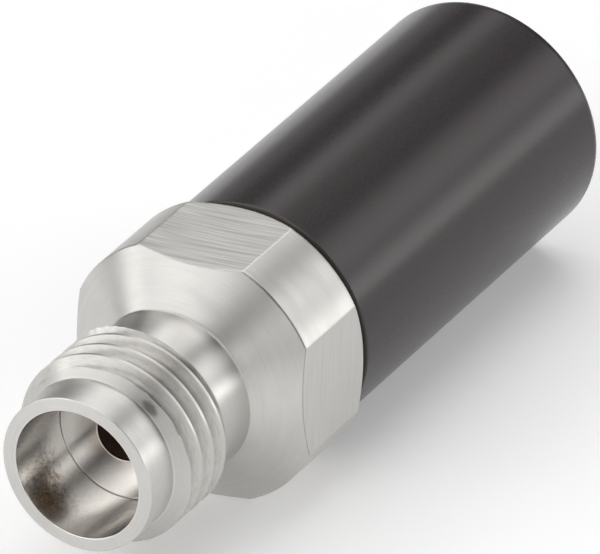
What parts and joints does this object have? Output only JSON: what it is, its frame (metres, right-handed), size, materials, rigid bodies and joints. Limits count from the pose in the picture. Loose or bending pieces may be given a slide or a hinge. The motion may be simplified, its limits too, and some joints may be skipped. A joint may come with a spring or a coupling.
{
  "type": "mismatch termination",
  "caption": "Coaxial mismatch termination with a threaded female mouth, a round collar with milled wrench flats, and a closed black sleeve over its load.",
  "frame": {"origin": "on the floor under the connector's axis, midway between the mouth and the sleeve's closed end; the axis lies 4.5 mm up", "axes": "-Y along the axis out of the mouth, +Y out of the sleeve's closed end, +Z square to the uppermost wrench flat, +X square to the next flat"},
  "size_m": [0.009, 0.028, 0.009],
  "materials": {
    "stainless_steel": "turned and milled, satin, passivated",
    "black_anodised_aluminium": "black anodised, satin",
    "seal_rubber": "matt black",
    "gold_plated_copper": "gold plated beryllium copper, bright",
    "bead_plastic": "machined amber-white engineering plastic",
    "white_ceramic": "unglazed alumina with a thin resistive film",
    "turned_brass": "turned, satin",
    "spring_steel": "tempered, slightly dark"
  },
  "bodies": {
    "root": {"connector_body": "stainless_steel", "sleeve": "black_anodised_aluminium", "o_ring": "seal_rubber", "socket_contact": "gold_plated_copper", "support_bead": "bead_plastic", "centre_pin": "gold_plated_copper", "line_bush": "gold_plated_copper", "input_cap": "gold_plated_copper", "resistor_rod": "white_ceramic", "ground_cap": "gold_plated_copper", "load_housing": "turned_brass", "key_pin": "spring_steel", "ground_collet": "gold_plated_copper", "collet_nut": "turned_brass", "thrust_washer": "spring_steel", "disc_spring_1": "spring_steel", "disc_spring_2": "spring_steel", "disc_spring_3": "spring_steel", "disc_spring_4": "spring_steel", "clamp_nut": "stainless_steel"}
  },
  "joints": []
}
